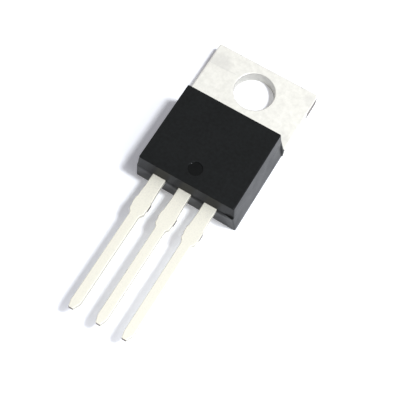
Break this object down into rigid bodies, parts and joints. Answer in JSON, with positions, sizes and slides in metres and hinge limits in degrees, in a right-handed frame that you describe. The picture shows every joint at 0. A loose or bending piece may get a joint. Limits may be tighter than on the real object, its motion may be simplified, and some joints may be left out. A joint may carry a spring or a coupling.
{
  "type": "voltage regulator",
  "caption": "Voltage regulator in a flat black moulded package, with a tinned screw-down metal tab at one end and a row of straight leads with pointed tips at the other.",
  "frame": {"origin": "centre of the mounting hole at the tab's back face", "axes": "+Z along the hole, out of the moulding's front face; +Y from the leads to the tab's free end; +X to the right, seen from the front with the leads down"},
  "size_m": [0.0104, 0.0287, 0.0045],
  "materials": {
    "tinned_copper": "matte tin plating on stamped copper",
    "solder": "dull soft solder",
    "silicon": "polished silicon",
    "aluminium_wire": "drawn wire",
    "epoxy_moulding": "finely textured moulding compound"
  },
  "bodies": {
    "root": {"tab_with_centre_lead": "tinned_copper", "ground_lead": "tinned_copper", "input_lead": "tinned_copper", "chip_solder": "solder", "chip": "silicon", "ground_wire": "aluminium_wire", "input_wire_1": "aluminium_wire", "input_wire_2": "aluminium_wire", "output_wire_1": "aluminium_wire", "output_wire_2": "aluminium_wire", "moulding": "epoxy_moulding"}
  },
  "joints": []
}
